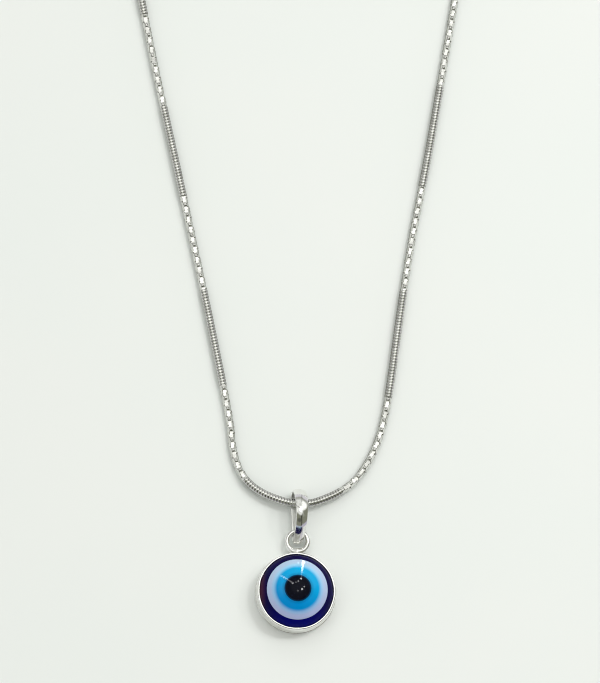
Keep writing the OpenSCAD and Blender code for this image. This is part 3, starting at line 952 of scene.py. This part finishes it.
def setting_outline():
    """Half section of plate and wall, from the middle of the back round to the middle of the cup's floor."""
    plate_round = PLATE_T / 4
    rim_round = WALL_T * 0.42
    lip_round = rim_round * 0.8
    rim_r = WALL_R - RIM_LEAN
    wall = [(WALL_R, PLATE_T)] + [(WALL_R - inwards, GIRDLE_H * share) for share, inwards in WALL_LEAN]
    wall.append((rim_r + RIM_FLARE, RIM_H - rim_round * 1.6))
    lip_r = dome_radius(RIM_H - rim_round)
    inner = [(dome_radius(z) + LIP_GAP, z) for z in np.linspace(RIM_H - rim_round, GIRDLE_H, 5)]
    return ([(0, 0), (PLATE_R * 0.5, 0)]
            + round_corner(PLATE_R - plate_round, plate_round, plate_round, -90, 0)
            + round_corner(PLATE_R - plate_round / 2, PLATE_T - plate_round / 2, plate_round / 2, 0, 90, 4)
            + wall
            + round_corner(rim_r - rim_round, RIM_H - rim_round, rim_round, 10, 90, 7)
            + round_corner(lip_r + lip_round, RIM_H - lip_round, lip_round, 100, 175)
            + inner
            + [(GLASS_R + GLASS_PLAY, PLATE_T), (0, PLATE_T)])


def burnish(turn):
    """Uneven hand-burnished edge, from -1 to 1 round the rim."""
    return sum(share * np.sin(number * turn + phase) for share, number, phase in BURNISH_WAVES)


def lathe(outline, columns):
    """Points and faces of an outline turned about Z. It starts and ends on the axis."""
    rings = np.array(outline[1:-1])
    turn = np.arange(columns) * math.tau / columns
    points = np.stack([rings[:, 0:1] * np.cos(turn), rings[:, 0:1] * np.sin(turn),
                       np.repeat(rings[:, 1:2], columns, axis=1)], axis=-1).reshape(-1, 3)
    faces = grid_quads(len(rings), columns).tolist()
    first, last = len(points), len(points) + 1
    final = len(points) - columns
    faces += [[first, (k + 1) % columns, k] for k in range(columns)]
    faces += [[last, final + k, final + (k + 1) % columns] for k in range(columns)]
    ends = [[0, 0, outline[0][1]], [0, 0, outline[-1][1]]]
    return np.vstack([points, ends]), faces


def bump_round(turn, middle, height, spread):
    """A soft swelling of the ring's wire about a turn."""
    away = np.abs((turn - middle + math.pi) % math.tau - math.pi)
    return height * np.exp(-(away / spread) ** 2)


def ring_tube():
    """The soldered ring: a wire loop that thickens where it is soldered to the wall."""
    mean_r = (RING_D - RING_WIRE) / 2
    turn = np.arange(RING_ROWS) * math.tau / RING_ROWS
    solder = bump_round(turn, -math.pi / 2, SOLDER_SWELL, SOLDER_SPREAD)
    lump = bump_round(turn, -LUMP_TURN, LUMP_SWELL, LUMP_SPREAD)
    wire_r = RING_WIRE / 2 + (solder + lump)
    around = np.arange(WIRE_COLUMNS) * math.tau / WIRE_COLUMNS
    reach = mean_r + wire_r[:, None] * np.cos(around)
    x = reach * np.cos(turn)[:, None]
    y = RING_Y + reach * np.sin(turn)[:, None]
    z = RING_Z + wire_r[:, None] * np.sin(around)
    turned_x = x * math.cos(RING_TURN) + y * math.sin(RING_TURN)
    turned_y = y * math.cos(RING_TURN) - x * math.sin(RING_TURN)
    points = np.stack([turned_x, turned_y, z], axis=-1).reshape(-1, 3)
    return points, grid_quads(RING_ROWS, WIRE_COLUMNS, wrap_rows=True).tolist()


def solder_on(piece, points, faces):
    """Joins a closed mesh to a piece, into one solid."""
    mesh = bpy.data.meshes.new("ring")
    mesh.from_pydata(points.tolist(), [], faces)
    ring = bpy.data.objects.new("ring", mesh)
    scene.collection.objects.link(ring)
    join = piece.modifiers.new("solder", "BOOLEAN")
    join.operation = "UNION"
    join.solver = "EXACT"
    join.object = ring
    bpy.context.view_layer.update()
    joined = piece.evaluated_get(bpy.context.evaluated_depsgraph_get())
    joined_mesh = bpy.data.meshes.new_from_object(joined)
    piece.modifiers.clear()
    piece.data = joined_mesh
    bpy.data.objects.remove(ring)


def make_setting(material):
    """Plate, burnished wall and soldered ring, joined into one solid."""
    points, faces = lathe(setting_outline(), SETTING_COLUMNS)
    turn = np.arctan2(points[:, 1], points[:, 0])
    reach = np.hypot(points[:, 0], points[:, 1])
    near_rim = np.clip((points[:, 2] - GIRDLE_H) / (RIM_H - GIRDLE_H), 0, 1) * (reach > GLASS_R * 0.9)
    push = 1 + near_rim * burnish(turn) * BURNISH_OUT / np.maximum(reach, PLATE_R / 2)
    points[:, :2] *= push[:, None]
    points[:, 2] += near_rim * burnish(turn + 1) * BURNISH_UP
    piece = new_piece("setting", points, faces, material, ["bezel_setting"])
    solder_on(piece, *ring_tube())
    piece.data.shade_smooth()
    piece.data.set_sharp_from_angle(angle=EDGE_SHARP)


# Eye

def layer_floor(r):
    """Height of the seat under a layer that ends at a distance from the middle."""
    return dome_height(r) - LAYER_T


def on_dome(outer, inner, rows):
    """Outline along the dome, from the outside inwards."""
    return [(r, dome_height(r)) for r in np.linspace(outer, inner, rows)]


def glass_outline():
    """Half section of the dark blue glass, with the recess for the white layer."""
    base_z = PLATE_T + GLASS_PLAY
    side = [(GLASS_R * math.cos(a), GIRDLE_H + DOME_H * math.sin(a))
            for a in np.linspace(0, math.acos(WHITE_R / GLASS_R), NAVY_ROWS)]
    base = [(0, base_z), (GLASS_R * 0.95, base_z), (GLASS_R, base_z + GLASS_CHAMFER)]
    return base + side + [(WHITE_R, layer_floor(WHITE_R)), (0, layer_floor(WHITE_R))]


def layer_outline(outer, inner, rows):
    """Half section of a layer, with the recess for the next one."""
    seat = [(0, layer_floor(outer)), (outer, layer_floor(outer))]
    return seat + on_dome(outer, inner, rows) + [(inner, layer_floor(inner)), (0, layer_floor(inner))]


def pupil_outline():
    """Half section of the pupil, which has the top of the dome."""
    return [(0, layer_floor(PUPIL_R)), (PUPIL_R, layer_floor(PUPIL_R))] + on_dome(PUPIL_R, 0, PUPIL_ROWS)


def make_eye(looks, eye_collection):
    """Four colours of glass that share one dome."""
    layers = (
        ("eye_glass", "navy_glass", glass_outline()),
        ("eye_white", "white_glass", layer_outline(WHITE_R, IRIS_R, WHITE_ROWS)),
        ("eye_iris", "blue_glass", layer_outline(IRIS_R, PUPIL_R, IRIS_ROWS)),
        ("eye_pupil", "black_glass", pupil_outline()),
    )
    for node_name, slot, outline in layers:
        points, faces = lathe(outline, EYE_COLUMNS)
        piece = new_piece(node_name + "_fired", points, faces, looks[node_name], [node_name])
        piece.data.set_sharp_from_angle(angle=EDGE_SHARP)
        eye_collection.objects.link(piece)


make_camera()
make_world()
eye_parts = bpy.data.collections.new("eye_parts")
make_lights(eye_parts)
make_floor()
polished = make_silver("polished_silver_look", *POLISHED_SILVER)[0]
satin = make_silver("satin_silver_look", *SATIN_SILVER)[0]
make_chain(make_chain_silver())
make_bail(polished, satin)
make_setting(polished)
make_eye(make_eye_materials(), eye_parts)
for node_name in ("end_cap_left", "end_cap_right", "catch_ring", "tail_ring", "clasp"):
    frame["nodes"][node_name].data.materials[0] = polished

scene.view_settings.view_transform = "Standard"
# Both of these keep the chain's fine texture in the denoised picture
scene.cycles.denoising_prefilter = "NONE"
scene.cycles.filter_width = 1.1
bpy.context.view_layer.update()
